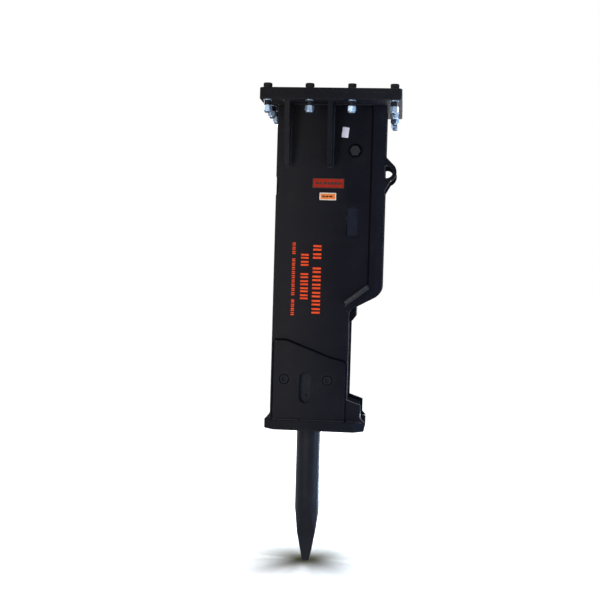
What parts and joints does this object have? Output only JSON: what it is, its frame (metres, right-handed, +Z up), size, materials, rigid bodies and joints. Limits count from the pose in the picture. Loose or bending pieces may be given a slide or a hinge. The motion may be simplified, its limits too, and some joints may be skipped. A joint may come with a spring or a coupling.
{
  "type": "hydraulic breaker hammer",
  "caption": "Box-housed hydraulic breaker hammer with a moil point tool, a bolted top adapter plate, lifting eyes and a piston, valve and accumulator inside.",
  "frame": {"origin": "where the tool's axis meets the machined face of the top adapter plate", "axes": "+Z up along the tool's axis, out of the adapter face; +X towards the hose side and the lifting eyes; +Y across the box, from the side plate with the labels to the other"},
  "size_m": [0.834, 0.78, 2.901],
  "materials": {
    "black_paint": "satin black paint over welded steel plate",
    "black_steel": "black oxide on machined steel",
    "zinc": "bright zinc plate",
    "tool_steel": "dark forged and heat-treated alloy steel",
    "ground_steel": "ground and hardened steel",
    "forged_body": "machined forged steel",
    "bronze": "machined bronze",
    "rubber": "moulded rubber and polyurethane",
    "red_plate": "red enamelled plate"
  },
  "bodies": {
    "housing": {"side_plate_left": "black_paint", "side_plate_right": "black_paint", "corner_bar_left": "black_paint", "corner_bar_right": "black_paint", "wear_plate_left": "black_paint", "wear_plate_right": "black_paint", "flange_ribs": "black_paint", "front_plate": "black_paint", "step_plate": "black_paint", "lower_front_plate": "black_paint", "rear_plate": "black_paint", "cross_brace": "black_paint", "base_plate": "black_paint", "foot_plate": "black_paint", "housing_flange": "black_paint", "cap_plate": "black_paint", "tie_bar": "black_paint", "guide_bolts": "black_paint", "guide_washers": "black_paint", "cap_bolts": "black_steel", "head_washers": "black_steel", "cap_sleeves": "black_steel", "lower_side_bolts": "black_steel", "valve_bolts": "black_steel", "accumulator_bolts": "black_steel", "through_bolts": "black_steel", "through_nuts": "black_steel", "through_washers": "black_steel", "cap_nuts": "zinc", "cap_washers": "zinc", "inlet_adapter": "zinc", "outlet_adapter": "zinc", "retaining_pins": "ground_steel", "pin_stoppers": "ground_steel", "seal_retainer": "ground_steel", "front_head": "forged_body", "cylinder": "forged_body", "back_head": "forged_body", "valve_body": "forged_body", "valve_cap": "forged_body", "accumulator_body": "forged_body", "accumulator_cover": "forged_body", "lower_bushing": "bronze", "upper_bushing": "bronze", "grease_nipple": "bronze", "gas_valve": "bronze", "window_plugs": "rubber", "upper_buffer": "rubber", "lower_buffer": "rubber", "side_buffers": "rubber", "piston_seals": "rubber", "dust_seal": "rubber", "accumulator_diaphragm": "rubber", "name_plate": "red_plate"},
    "tool": {"chisel": "tool_steel"},
    "piston": {"piston": "ground_steel"},
    "spool": {"valve_spool": "ground_steel"}
  },
  "joints": [
    {"name": "tool_slide", "type": "slide", "parent": "housing", "child": "tool", "axis": [0, 0, 1], "range_m": [0, 0.08]},
    {"name": "piston_slide", "type": "slide", "parent": "housing", "child": "piston", "axis": [0, 0, 1], "range_m": [0, 0.12]},
    {"name": "spool_slide", "type": "slide", "parent": "housing", "child": "spool", "axis": [0, 0, 1], "range_m": [0, 0.014]}
  ]
}
